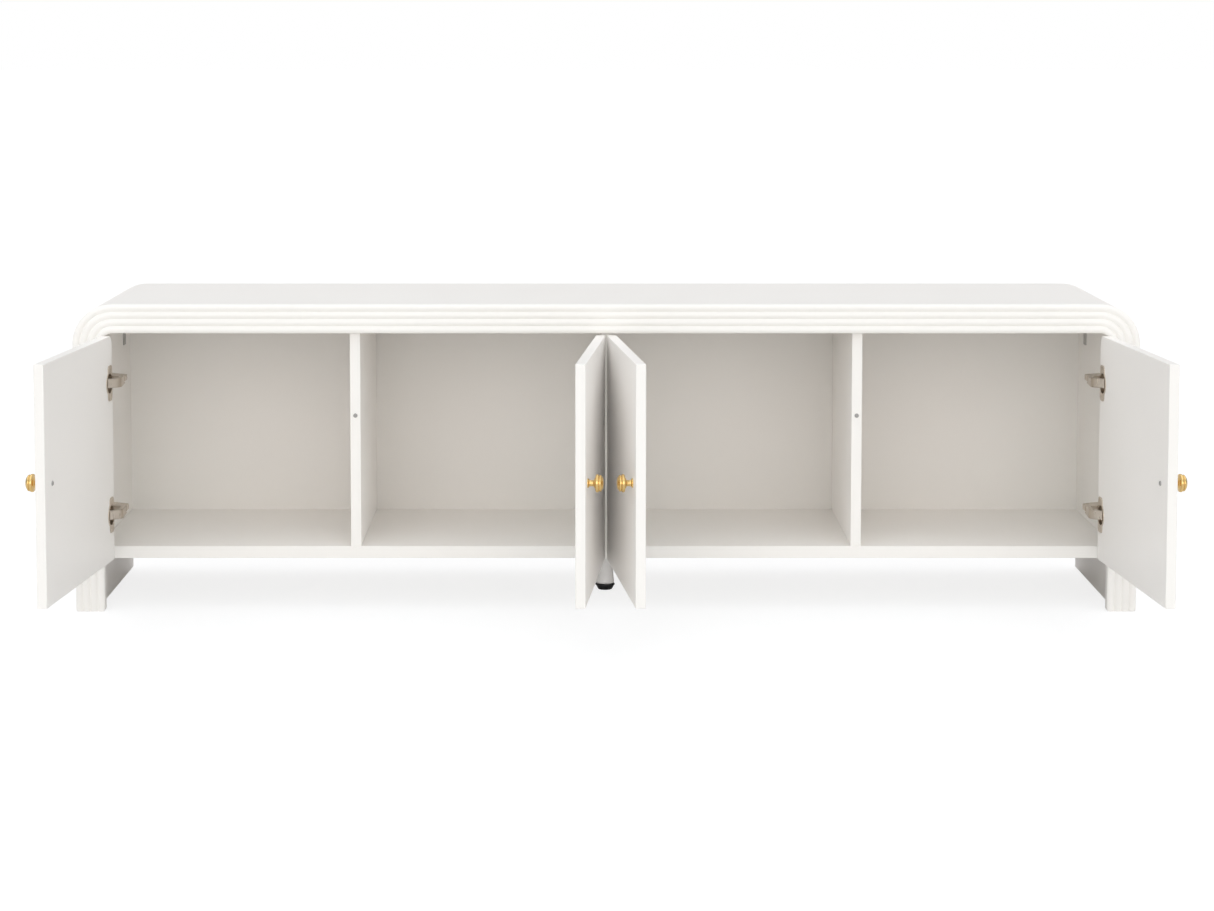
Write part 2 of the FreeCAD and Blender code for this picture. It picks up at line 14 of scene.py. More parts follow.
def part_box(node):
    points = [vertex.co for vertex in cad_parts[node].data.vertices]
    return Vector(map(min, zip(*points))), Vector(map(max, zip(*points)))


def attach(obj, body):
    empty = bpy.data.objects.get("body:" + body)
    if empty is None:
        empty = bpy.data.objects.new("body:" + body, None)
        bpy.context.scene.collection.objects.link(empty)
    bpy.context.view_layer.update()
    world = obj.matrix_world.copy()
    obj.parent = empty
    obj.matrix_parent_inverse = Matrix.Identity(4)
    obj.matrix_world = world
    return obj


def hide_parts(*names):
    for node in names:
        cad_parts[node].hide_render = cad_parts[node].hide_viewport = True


MM = 0.001
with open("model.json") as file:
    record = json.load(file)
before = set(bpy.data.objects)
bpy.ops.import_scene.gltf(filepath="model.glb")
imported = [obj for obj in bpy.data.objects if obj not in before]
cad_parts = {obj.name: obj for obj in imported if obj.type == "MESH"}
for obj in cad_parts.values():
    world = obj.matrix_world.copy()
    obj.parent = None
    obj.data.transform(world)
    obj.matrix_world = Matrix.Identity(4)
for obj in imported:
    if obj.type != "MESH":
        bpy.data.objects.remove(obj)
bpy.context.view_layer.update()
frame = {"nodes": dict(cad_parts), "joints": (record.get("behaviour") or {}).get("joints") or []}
scene = bpy.context.scene
joints = {joint["name"]: joint for joint in frame["joints"]}

# ---- sizes read from the frame -------------------------------------------------------------------

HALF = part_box("side_panel_right")[1].x
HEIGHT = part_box("top_panel")[1].z
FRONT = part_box("front_rail")[0].y
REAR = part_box("top_panel")[1].y
SHELL_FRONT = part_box("top_panel")[0].y
SIDE_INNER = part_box("floor_panel")[1].x
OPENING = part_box("front_stile_right")[0].x
CORNER_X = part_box("top_panel")[1].x
CORNER_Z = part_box("side_panel_right")[1].z
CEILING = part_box("top_panel")[0].z
FLOOR_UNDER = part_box("floor_panel")[0].z
FRAME_WIDTH = HALF - OPENING
DOOR_BOTTOM, DOOR_TOP = (corner.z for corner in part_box("door_left_outer"))
DOOR_MIDDLE = (DOOR_BOTTOM + DOOR_TOP) / 2

# ---- sizes the frame's boxes don't give ----------------------------------------------------------

REEDS = 4
REED_DEPTH = 2.4 * MM
BEAD_SHARE = 0.955
VALLEY_LIFT = 0.12 * MM
TOE = 4.0 * MM
DOOR_WIDTH = 422.375 * MM
DOOR_BOARD = 16.0 * MM
HINGE_INSET = 79.0 * MM
CUP_FROM_EDGE = 22.0 * MM
PIN_IN = 26.5 * MM
PIN_BACK = 43.5 * MM
PIN_RADIUS = 2.4 * MM
ARM_TALL = 16.0 * MM
ARM_HALF = 3.1 * MM
ARM_WEB = 1.3 * MM
ARM_LIP = 1.5 * MM
EYE_RADIUS = 3.6 * MM
ROLL_RADIUS = 2.9 * MM
KNOB_FROM_EDGE = 40.0 * MM
DOOR_CORNER = 16.0 * MM
CUP_RADIUS = 17.5 * MM
CUP_BORE_DEPTH = 11.5 * MM
FLANGE_NEAR = -17 * MM
FLANGE_FAR = 9 * MM
FLANGE_HALF = 30 * MM
FLANGE_CORNER = 7 * MM
FLANGE_LEAST = 19.3 * MM
CUP_SCREW_FROM_EDGE = 12 * MM
CUP_SCREW_RISE = 24 * MM
PLATE_SHEET = 2.4 * MM
PLATE_SCREW_BACK = 70 * MM
PLATE_SCREW_RISE = 16 * MM
PACKER_HALF = 26 * MM
STRAP_SHEET = 2.0 * MM
STRAP_HALF = 10 * MM
STRAP_SCREW_FROM_CORNER = 21.6 * MM
BACK_REBATE = 8.0 * MM
BACK_BOARD = 5.0 * MM
REAR_EDGE = 1.6 * MM
SCREW_RADIUS = 1.5 * MM
CUP_SCREW_LENGTH = 11.8 * MM
PLATE_SCREW_LENGTH = 9.2 * MM
BOARD_SCREW_LENGTH = 15.5 * MM
KNOB_SCREW_RADIUS = 1.9 * MM
KNOB_SCREW_LENGTH = 25 * MM
HINGE_HEIGHTS = (DOOR_BOTTOM + HINGE_INSET, DOOR_TOP - HINGE_INSET)

PARTITIONS = ("partition_left", "partition_center", "partition_right")

# name: direction in which the shut door runs from its hinge edge, X of what its hinges are screwed to
DOORS = {
    "left_outer": (1, -OPENING),
    "left_inner": (-1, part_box("partition_center")[0].x),
    "right_inner": (1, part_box("partition_center")[1].x),
    "right_outer": (-1, OPENING),
}


# ---- materials -----------------------------------------------------------------------------------

class Finish:
    """A Principled material whose noise-driven parts are added one call at a time."""

    def __init__(self, name, colour, roughness, metallic=0.0):
        self.material = bpy.data.materials.new(name)
        self.material.use_nodes = True
        self.nodes = self.material.node_tree.nodes
        self.links = self.material.node_tree.links
        self.shader = self.nodes["Principled BSDF"]
        self.colour = colour
        self.shader.inputs["Base Color"].default_value = (*colour, 1)
        self.shader.inputs["Roughness"].default_value = roughness
        self.shader.inputs["Metallic"].default_value = metallic
        self.place = self.nodes.new("ShaderNodeTexCoord")

    def stretched(self, scale):
        mapping = self.nodes.new("ShaderNodeMapping")
        mapping.inputs["Scale"].default_value = scale
        self.links.new(self.place.outputs["Object"], mapping.inputs["Vector"])
        return mapping.outputs["Vector"]

    def noise(self, scale, detail=2.0, stretch=(1, 1, 1), roughness=0.5):
        texture = self.nodes.new("ShaderNodeTexNoise")
        texture.inputs["Scale"].default_value = scale
        texture.inputs["Detail"].default_value = detail
        texture.inputs["Roughness"].default_value = roughness
        self.links.new(self.stretched(stretch), texture.inputs["Vector"])
        return texture.outputs["Fac"]

    def ramp(self, value, dark, light):
        ramp = self.nodes.new("ShaderNodeValToRGB")
        ramp.color_ramp.elements[0].position = 0.35
        ramp.color_ramp.elements[1].position = 0.65
        ramp.color_ramp.elements[0].color = dark
        ramp.color_ramp.elements[1].color = light
        self.links.new(value, ramp.inputs["Fac"])
        return ramp.outputs["Color"]

    def vary_colour(self, value, amount, warm=0.0):
        """Shades the colour by amount either way where value is low or high, and warms the dark side."""
        r, g, b = self.colour
        dark = (r * (1 - amount), g * (1 - amount - warm / 2), b * (1 - amount - warm), 1)
        light = (min(1, r * (1 + amount)), min(1, g * (1 + amount)), min(1, b * (1 + amount)), 1)
        self.links.new(self.ramp(value, dark, light), self.shader.inputs["Base Color"])

    def vary_roughness(self, value, low, high):
        spread = self.nodes.new("ShaderNodeMapRange")
        spread.inputs["From Min"].default_value = 0.3
        spread.inputs["From Max"].default_value = 0.7
        spread.inputs["To Min"].default_value = low
        spread.inputs["To Max"].default_value = high
        self.links.new(value, spread.inputs["Value"])
        self.links.new(spread.outputs["Result"], self.shader.inputs["Roughness"])

    def bump(self, *layers):
        """Each layer is (value, strength, distance); they add up."""
        normal = None
        for value, strength, distance in layers:
            node = self.nodes.new("ShaderNodeBump")
            node.inputs["Strength"].default_value = strength
            node.inputs["Distance"].default_value = distance
            self.links.new(value, node.inputs["Height"])
            if normal is not None:
                self.links.new(normal, node.inputs["Normal"])
            normal = node.outputs["Normal"]
        self.links.new(normal, self.shader.inputs["Normal"])


def lacquer(name, colour, grain):
    """Sprayed satin lacquer on board.

    It has a slight unevenness of tone and gloss, orange peel, a hint of the grain below and a soft
    bloom at glancing angles.
    """
    finish = Finish(name, colour, 0.36)
    finish.shader.inputs["Coat Weight"].default_value = 0.12
    finish.shader.inputs["Coat Roughness"].default_value = 0.22
    finish.shader.inputs["Sheen Weight"].default_value = 0.7
    finish.shader.inputs["Sheen Roughness"].default_value = 0.5
    finish.shader.inputs["Sheen Tint"].default_value = (1.0, 0.96, 0.92, 1)
    finish.vary_colour(finish.noise(2.4, 4.0), 0.008, 0.004)
    finish.vary_roughness(finish.noise(14.0, 5.0), 0.33, 0.43)
    finish.bump(
        (finish.noise(420.0, 2.0), 0.22, 0.00006),
        (finish.noise(30.0, 5.0, grain, 0.65), 0.16, 0.00012),
    )
    return finish.material


def metal(name, colour, low, high, grain=(1, 1, 1), scale=260.0, bump=0.1):
    finish = Finish(name, colour, low, 1.0)
    finish.vary_colour(finish.noise(60.0, 4.0), 0.05, 0.02)
    finish.vary_roughness(finish.noise(180.0, 4.0, grain), low, high)
    finish.bump((finish.noise(scale, 3.0, grain), bump, 0.00005))
    return finish.material


def plastic(name, colour, roughness, grain_scale):
    finish = Finish(name, colour, roughness)
    finish.vary_colour(finish.noise(35.0, 3.0), 0.06)
    finish.vary_roughness(finish.noise(90.0, 3.0), roughness * 0.88, roughness * 1.12)
    finish.bump((finish.noise(grain_scale, 2.0), 0.3, 0.00008))
    return finish.material


def beech(name):
    finish = Finish(name, (0.62, 0.44, 0.27), 0.55)
    finish.vary_colour(finish.noise(90.0, 6.0, (1, 1, 0.08), 0.7), 0.14, 0.05)
    finish.bump((finish.noise(400.0, 4.0, (1, 1, 0.05)), 0.3, 0.0001))
    return finish.material


WHITE = (0.93, 0.905, 0.862)
MATERIALS = {
    "flat": lacquer("white_lacquer", WHITE, (0.05, 1.0, 1.0)),
    "upright": lacquer("white_lacquer_upright", WHITE, (1.0, 1.0, 0.05)),
    "reeds": lacquer("white_lacquer_reeds", WHITE, (0.3, 1.0, 0.3)),
    "support": lacquer("support_paint", (0.93, 0.92, 0.90), (1.0, 1.0, 0.2)),
    "brass": metal("knob_brass", (0.82, 0.575, 0.235), 0.16, 0.28, scale=420.0, bump=0.06),
    "nickel": metal("hinge_nickel", (0.62, 0.55, 0.47), 0.24, 0.38, (1, 1, 0.3)),
    "zinc": metal("zinc_steel", (0.44, 0.43, 0.42), 0.28, 0.45),
    "black": plastic("black_plastic", (0.012, 0.012, 0.013), 0.42, 900.0),
    "rubber": plastic("bumper_rubber", (0.36, 0.35, 0.33), 0.38, 500.0),
    "beech": beech("beech_dowel"),
}


# ---- mesh helpers --------------------------------------------------------------------------------

def piece(name, bm, finish, body, nodes, bevel=0.0, segments=3, sharp=32):
    """Turns bm into a finished piece that rides on body and stands for the CAD nodes named."""
    bmesh.ops.remove_doubles(bm, verts=bm.verts, dist=2e-6)
    bmesh.ops.recalc_face_normals(bm, faces=bm.faces)
    mesh = bpy.data.meshes.new(name)
    bm.to_mesh(mesh)
    bm.free()
    mesh.materials.append(MATERIALS[finish])
    for polygon in mesh.polygons:
        polygon.use_smooth = True
    mesh.set_sharp_from_angle(angle=math.radians(sharp))
    thing = bpy.data.objects.new(name, mesh)
    scene.collection.objects.link(thing)
    if bevel:
        rounding = thing.modifiers.new("rounding", "BEVEL")
        rounding.width = bevel
        rounding.segments = segments
        rounding.limit_method = "ANGLE"
        rounding.angle_limit = math.radians(sharp)
        rounding.harden_normals = False
    normals = thing.modifiers.new("normals", "WEIGHTED_NORMAL")
    normals.keep_sharp = not bevel
    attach(thing, body)
    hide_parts(*nodes)


def add_box(bm, low, high, matrix=Matrix.Identity(4)):
    low, high = Vector(low), Vector(high)
    size = high - low
    place = matrix @ Matrix.Translation((low + high) / 2) @ Matrix.Diagonal((*size, 1))
    bmesh.ops.create_cube(bm, size=1.0, matrix=place)


def add_rings(bm, rings):
    """Joins rings of points of equal length with quads, and caps the ends."""
    made = [[bm.verts.new(point) for point in ring] for ring in rings]
    count = len(made[0])
    for a, b in zip(made, made[1:]):
        for i in range(count):
            j = (i + 1) % count
            bm.faces.new((a[i], a[j], b[j], b[i]))
    bm.faces.new(list(reversed(made[0])))
    bm.faces.new(made[-1])


def quarter(steps):
    """Angles from 0 to a quarter turn in equal steps."""
    return [math.pi / 2 * i / steps for i in range(steps + 1)]


def add_turned(bm, profile, matrix, segments):
    """A turned shape about local +Z, from (radius, height) pairs, with its two ends capped flat."""
    rings = []
    for radius, height in profile:
        rings.append([
            matrix @ Vector((radius * math.cos(a), radius * math.sin(a), height))
            for a in (math.tau * i / segments for i in range(segments))
        ])
    add_rings(bm, rings)


def softened(points, radius, steps=4):
    """points with each inner corner rounded by a short curve; radius is the most it cuts from either side."""
    out = [points[0]]
    for before, corner, after in zip(points, points[1:], points[2:]):
        corner = Vector(corner)
        back, ahead = Vector(before) - corner, Vector(after) - corner
        cut = min(radius, back.length * 0.45, ahead.length * 0.45)
        start, end = corner + back.normalized() * cut, corner + ahead.normalized() * cut
        for i in range(steps + 1):
            t = i / steps
            out.append(tuple(start * (1 - t) ** 2 + corner * 2 * t * (1 - t) + end * t * t))
    out.append(points[-1])
    return out


def in_millimetres(points):
    return [tuple(value * MM for value in point) for point in points]


def facing(direction, base):
    """A matrix that stands local +Z along direction at base."""
    turn = Vector((0, 0, 1)).rotation_difference(Vector(direction)).to_matrix().to_4x4()
    return Matrix.Translation(base) @ turn


def subtract(bm, cutters):
    """bm less each cutter, worked out with a boolean, as a new bmesh."""
    mesh = bpy.data.meshes.new("work")
    bm.to_mesh(mesh)
    bm.free()
    work = bpy.data.objects.new("work", mesh)
    scene.collection.objects.link(work)
    tools = []
    for cutter in cutters:
        tool_mesh = bpy.data.meshes.new("tool")
        bmesh.ops.recalc_face_normals(cutter, faces=cutter.faces)
        cutter.to_mesh(tool_mesh)
        cutter.free()
        tool = bpy.data.objects.new("tool", tool_mesh)
        scene.collection.objects.link(tool)
        modifier = work.modifiers.new("cut", "BOOLEAN")
        modifier.object = tool
        modifier.solver = "EXACT"
        tools.append(tool)
    bpy.context.view_layer.update()
    evaluated = work.evaluated_get(bpy.context.evaluated_depsgraph_get())
    result = bmesh.new()
    result.from_mesh(evaluated.to_mesh())
    for thing in [work, *tools]:
        data = thing.data
        bpy.data.objects.remove(thing)
        bpy.data.meshes.remove(data)
    return result


def add_mesh(bm, mesh, matrix):
    """Adds a copy of mesh to bm, placed by matrix."""
    before = len(bm.verts)
    bm.from_mesh(mesh)
    bm.verts.ensure_lookup_table()
    bmesh.ops.transform(bm, matrix=matrix, verts=bm.verts[before:])


def build_board(node, finish):
    """A flat board of the cabinet in a CAD node's place, with softened edges."""
    low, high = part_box(node)
    bm = bmesh.new()
    add_box(bm, low, high)
    bmesh.ops.bevel(bm, geom=bm.edges[:], offset=0.7 * MM, segments=3, profile=0.5, affect="EDGES")
    piece("fine_" + node, bm, finish, "cabinet", [node])


# ---- the arch: shell and reeded frame ------------------------------------------------------------

def arch_stations():
    """Points along the opening's edge from the right foot over the top to the left foot.

    Each is (point in XZ, outward direction in XZ).
    """
    sideways, up = Vector((1, 0)), Vector((0, 1))
    right = [(Vector((OPENING, TOE * (1 - math.sin(turn)))), sideways) for turn in reversed(quarter(6))]
    for height in (40 * MM, FLOOR_UNDER - 0.01 * MM, FLOOR_UNDER, 200 * MM, 320 * MM):
        right.append((Vector((OPENING, height)), sideways))
    under = HEIGHT - FRAME_WIDTH
    for turn in quarter(32):
        out = Vector((math.cos(turn), math.sin(turn)))
        right.append((Vector((CORNER_X, CORNER_Z)) + out * (under - CORNER_Z), out))
    for share in (0.75, 0.5, 0.25):
        right.append((Vector((CORNER_X * share, under)), up))
    middle = [(Vector((0, under)), up)]
    left = [(Vector((-point.x, point.y)), Vector((-out.x, out.y))) for point, out in reversed(right)]
    return right + middle + left


def toe_inset(height):
    """How far the rounded toe stands in at a height above the floor."""
    if height >= TOE:
        return 0.0
    return TOE - math.sqrt(TOE * TOE - (TOE - height) ** 2)


def sweep_arch(bm, profile_at):
    """Sweeps the outline profile_at(height) along the arch.

    Its points are (across, depth): across runs out from the opening, depth back from the front.
    """
    rings = []
    for point, out in arch_stations():
        ring = []
        for across, depth in profile_at(point.y):
            spot = point + out * across
            ring.append(Vector((spot.x, FRONT + depth, spot.y)))
        rings.append(ring)
    add_rings(bm, rings)


def reed_profile(height):
    """Four rounded beads with soft valleys, the frame's two edges and its back."""
    pitch = FRAME_WIDTH / REEDS
    half = pitch / 2
    radius = (half * half + REED_DEPTH * REED_DEPTH) / (2 * REED_DEPTH)
    sweep = math.asin(half / radius)
    points = []
    for reed in range(REEDS):
        centre = (reed + 0.5) * pitch
        for i in range(17):
            turn = sweep * BEAD_SHARE * (i / 8 - 1)
            points.append((centre + radius * math.sin(turn), radius * (1 - math.cos(turn))))
        if reed < REEDS - 1:
            points.append(((reed + 1) * pitch, REED_DEPTH - VALLEY_LIFT))
    inner = [(0.0, SHELL_FRONT - FRONT), (0.0, REED_DEPTH + 0.9 * MM), (0.12 * MM, REED_DEPTH + 0.2 * MM)]
    outer = [(FRAME_WIDTH - x, d) for x, d in reversed(inner)]
    inset = toe_inset(height)
    return [(min(max(x, inset), FRAME_WIDTH - inset), d) for x, d in inner + points + outer]


def shell_profile(height):
    """The thick shell behind the frame, with a rebate for the back and softened rear edges."""
    inner = SIDE_INNER - OPENING
    depth = REAR - FRONT
    rebate = inner + (BACK_REBATE if height >= FLOOR_UNDER else 0.0)
    back = depth - BACK_BOARD
    outline = [
        (inner, SHELL_FRONT - FRONT), (inner, back), (rebate, back), (rebate, depth - 0.4 * MM),
        (rebate + 0.4 * MM, depth),
    ]
    for turn in quarter(5):
        across = FRAME_WIDTH - REAR_EDGE + REAR_EDGE * math.sin(turn)
        outline.append((across, depth - REAR_EDGE + REAR_EDGE * math.cos(turn)))
    outline.append((FRAME_WIDTH, SHELL_FRONT - FRONT))
    inset = toe_inset(height)
    return [(min(max(x, inner + inset), FRAME_WIDTH - inset), d) for x, d in outline]


def build_arch():
    bm = bmesh.new()
    sweep_arch(bm, reed_profile)
    nodes = ["front_rail", "front_corner_left", "front_corner_right", "front_stile_left", "front_stile_right"]
    piece("reeded_frame", bm, "reeds", "cabinet", nodes, sharp=40)
    bm = bmesh.new()
    sweep_arch(bm, shell_profile)
    nodes = ["top_panel", "corner_block_left", "corner_block_right", "side_panel_left", "side_panel_right"]
    piece("shell_arch", bm, "flat", "cabinet", nodes, sharp=30)


def build_back():
    """The back board, with its upper corners rounded like the rebate it fills."""
    low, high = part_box("back_panel")
    radius = high.x - CORNER_X
    outline = [Vector((high.x, low.z)), Vector((-high.x, low.z))]
    for side, turns in ((-1, reversed(quarter(16))), (1, quarter(16))):
        for turn in turns:
            x, z = CORNER_X + radius * math.sin(turn), CORNER_Z + radius * math.cos(turn)
            outline.append(Vector((side * x, z)))
    bm = bmesh.new()
    add_rings(bm, [[Vector((p.x, y, p.y)) for p in outline] for y in (low.y, high.y)])
    piece("fine_back_panel", bm, "flat", "cabinet", ["back_panel"], bevel=0.35 * MM, segments=2)


# ---- doors ---------------------------------------------------------------------------------------

def door_place(name, swung):
    """Matrix from the door's own frame to the cabinet.

    Local X runs from the hinge edge, and Y inwards from the front.
    """
    direction, _ = DOORS[name]
    joint = joints["door_" + name + "_hinge"]
    pivot = Vector((joint["pos_m"][0], joint["pos_m"][1], 0))
    turn = Matrix.Identity(4)
    if swung:
        turn = Matrix.Rotation(-math.radians(joint["range_deg"][1]) * joint["axis"][2], 4, "Z")
    return Matrix.Translation(pivot) @ turn @ Matrix.Diagonal((direction, 1, 1, 1))


def swung_point(name, along, inwards):
    """A point of the shut door, where it is as the door rests, in the door's unswung frame."""
    opened = math.radians(joints["door_" + name + "_hinge"]["range_deg"][1])
    c, s = math.cos(opened), math.sin(opened)
    return Vector((along * c + inwards * s, inwards * c - along * s))


def door_outline(rounded):
    """Corners of the slab in (along, up), from the lower hinge corner round; one corner may be rounded."""
    outline = [(0, DOOR_BOTTOM), (DOOR_WIDTH, DOOR_BOTTOM), (DOOR_WIDTH, DOOR_TOP)]
    if not rounded:
        return [*outline, (0, DOOR_TOP)]
    for turn in quarter(12):
        along, up = 1 - math.sin(turn), math.cos(turn) - 1
        outline.append((DOOR_CORNER * along, DOOR_TOP + DOOR_CORNER * up))
    return outline


def build_slab(name):
    outline = door_outline(name.endswith("outer"))
    bm = bmesh.new()
    add_rings(bm, [[Vector((x, y, z)) for x, z in outline] for y in (0, DOOR_BOARD)])
    bmesh.ops.recalc_face_normals(bm, faces=bm.faces)
    edges = [e for e in bm.edges if e.calc_face_angle(0) > math.radians(30)]
    bmesh.ops.bevel(bm, geom=edges, offset=1.3 * MM, segments=4, profile=0.5, affect="EDGES")
    cutters = []
    for z in HINGE_HEIGHTS:
        cutter = bmesh.new()
        base = facing((0, 1, 0), (CUP_FROM_EDGE, DOOR_BOARD - CUP_BORE_DEPTH, z))
        add_turned(cutter, [(CUP_RADIUS, 0), (CUP_RADIUS, CUP_BORE_DEPTH + 2.5 * MM)], base, 96)
        cutters.append(cutter)
    bm = subtract(bm, cutters)
    bmesh.ops.transform(bm, matrix=door_place(name, True), verts=bm.verts)
    piece("fine_door_" + name, bm, "upright", "door_" + name, ["door_" + name], sharp=28)


def cup_outline(theta):
    """Distance from the cup's centre to the flange's edge: a round rim with a wing above and below."""
    c, s = math.cos(theta), math.sin(theta)
    reach = 1.0
    if abs(c) > 1e-9:
        reach = min(reach, (FLANGE_FAR if c > 0 else FLANGE_NEAR) / c)
    if abs(s) > 1e-9:
        reach = min(reach, FLANGE_HALF / abs(s))
    x, z = reach * c, reach * s
    centre_x = FLANGE_FAR - FLANGE_CORNER if c > 0 else FLANGE_NEAR + FLANGE_CORNER
    centre_z = (FLANGE_HALF - FLANGE_CORNER) * (1 if s > 0 else -1)
    if (x - centre_x) * (1 if c > 0 else -1) > 0 and abs(z) > FLANGE_HALF - FLANGE_CORNER:
        b = c * centre_x + s * centre_z
        spare = centre_x * centre_x + centre_z * centre_z - FLANGE_CORNER * FLANGE_CORNER
        reach = b + math.sqrt(max(0.0, b * b - spare))
    return max(reach, FLANGE_LEAST)


# Rings of a hinge cup in millimetres, each (radius, offset from it, height over the door's inner face).
# Radius None follows the flange's edge.
CUP_INSIDE = [
    (None, 0.0, 0.0), (None, 0.0, 0.85), (None, -0.12, 1.08), (None, -0.4, 1.2),
    (18.4, 0, 1.2), (17.9, 0, 1.26), (17.4, 0, 1.42), (16.9, 0, 1.42), (16.6, 0, 1.25),
    (16.45, 0, 0.9), (16.4, 0, -7.6), (15.9, 0, -9.2), (14.7, 0, -10.1), (13.0, 0, -10.4),
    (5.0, 0, -10.4), (4.4, 0, -10.0), (0.6, 0, -9.9),
]
CUP_OUTSIDE = [(0.6, 0, -11.4), (16.6, 0, -11.4), (17.4, 0, -10.6), (17.4, 0, 0.0)]


def cup_ring(place, centre_z, radius, offset, height):
    """One ring of a hinge cup, placed."""
    ring = []
    for i in range(128):
        a = math.tau * i / 128
        reach = (cup_outline(a) if radius is None else radius * MM) + offset * MM
        x, z = CUP_FROM_EDGE + reach * math.cos(a), centre_z + reach * math.sin(a)
        ring.append(place @ Vector((x, DOOR_BOARD + height * MM, z)))
    return ring


def build_cups(name):
    """Pressed cups with winged flanges, hollow and rounded inside."""
    place = door_place(name, True)
    bm = bmesh.new()
    for z in HINGE_HEIGHTS:
        add_rings(bm, [cup_ring(place, z, *layer) for layer in CUP_OUTSIDE + CUP_INSIDE])
    piece("fine_hinge_cups_" + name, bm, "nickel", "door_" + name, ["hinge_cups_" + name], sharp=35)


def screw_head(radius, rise, recess):
    """Mesh of a low domed head with a cross recess, standing on local z = 0."""
    bm = bmesh.new()
    profile = [(radius, -0.6 * MM), (radius, rise * 0.35), (radius * 0.72, rise * 0.9), (0.02 * MM, rise)]
    add_turned(bm, softened(profile, 0.5 * MM), Matrix.Identity(4), 48)
    cutters = []
    for turn in (0, math.pi / 2):
        cutter = bmesh.new()
        arm = Matrix.Rotation(turn + math.pi / 4, 4, "Z")
        add_box(cutter, (-recess, -recess * 0.24, rise - 0.55 * MM), (recess, recess * 0.24, rise + MM), arm)
        cutters.append(cutter)
    bmesh.ops.recalc_face_normals(bm, faces=bm.faces)
    bm = subtract(bm, cutters)
    mesh = bpy.data.meshes.new("screw_head")
    bm.to_mesh(mesh)
    bm.free()
    return mesh


def add_screws(bm, head, seats, length, radius):
    """Heads at seats, each (place, outward direction), with their shanks going in."""
    for spot, outward in seats:
        base = facing(outward, spot)
        add_mesh(bm, head, base)
        add_turned(bm, [(radius, -0.3 * MM), (radius, -length + radius), (0.05 * MM, -length)], base, 20)


def build_cup_screws(name, head):
    place = door_place(name, True)
    outward = place.to_3x3() @ Vector((0, 1, 0))
    seats = [
        (place @ Vector((CUP_SCREW_FROM_EDGE, DOOR_BOARD + 1.05 * MM, z + side * CUP_SCREW_RISE)), outward)
        for z in HINGE_HEIGHTS
        for side in (-1, 1)
    ]
    bm = bmesh.new()
    add_screws(bm, head, seats, CUP_SCREW_LENGTH, SCREW_RADIUS)
    piece("fine_cup_screws_" + name, bm, "nickel", "door_" + name, ["cup_screws_" + name])


# (radius, height over the door's front) in millimetres
KNOB_PROFILE = [
    (7.4, 0.0), (7.4, 1.3), (6.6, 2.3), (5.1, 3.0), (4.8, 5.2), (4.9, 9.2), (5.9, 10.4), (8.0, 11.0),
    (8.3, 12.0), (10.0, 12.6), (13.4, 12.9), (14.3, 14.0), (14.3, 16.6), (13.6, 17.7), (12.4, 18.0),
    (12.2, 18.6), (13.0, 19.1), (13.2, 20.2), (12.6, 21.7), (10.8, 22.6), (10.2, 22.8), (9.8, 23.5),
    (7.6, 24.6), (4.0, 25.2), (0.3, 25.35),
]


def build_knob(name):
    """Turned brass: foot, waist, bead, broad disc, groove, second ring and a low domed centre."""
    place = door_place(name, True)
    spot = place @ Vector((DOOR_WIDTH - KNOB_FROM_EDGE, 0, DOOR_MIDDLE))
    outward = place.to_3x3() @ Vector((0, -1, 0))
    bm = bmesh.new()
    add_turned(bm, softened(in_millimetres(KNOB_PROFILE), 0.55 * MM), facing(outward, spot), 96)
    piece("fine_knob_" + name, bm, "brass", "door_" + name, ["knob_" + name], sharp=60)


def build_knob_screw(name, head):
    place = door_place(name, True)
    spot = place @ Vector((DOOR_WIDTH - KNOB_FROM_EDGE, DOOR_BOARD, DOOR_MIDDLE))
    inward = place.to_3x3() @ Vector((0, 1, 0))
    bm = bmesh.new()
    add_screws(bm, head, [(spot, inward)], KNOB_SCREW_LENGTH, KNOB_SCREW_RADIUS)
    piece("fine_knob_screw_" + name, bm, "zinc", "door_" + name, ["knob_screw_" + name])


# ---- hinge pieces on the cabinet -----------------------------------------------------------------

def smooth_path(points, steps=10):
    """A Catmull-Rom path through 2D points."""
    padded = [points[0] * 2 - points[1], *points, points[-1] * 2 - points[-2]]
    out = []
    for a, b, c, d in zip(padded, padded[1:], padded[2:], padded[3:]):
        for i in range(steps):
            t = i / steps
            out.append(0.5 * (
                b * 2 + (c - a) * t + (a * 2 - b * 5 + c * 4 - d) * t * t + (b * 3 - a - c * 3 + d) * t ** 3
            ))
    out.append(points[-1])
    return out


def add_strip(bm, path, near, far, low, high, place):
    """A bar of rectangular section along a path in plan, between two offsets to its left and two heights."""
    rings = []
    for i, point in enumerate(path):
        before, after = path[max(i - 1, 0)], path[min(i + 1, len(path) - 1)]
        run = (after - before).normalized()
        left = Vector((-run.y, run.x))
        a, b = point + left * near, point + left * far
        rings.append([place @ Vector((*p, z)) for p, z in ((a, low), (b, low), (b, high), (a, high))])
    add_rings(bm, rings)


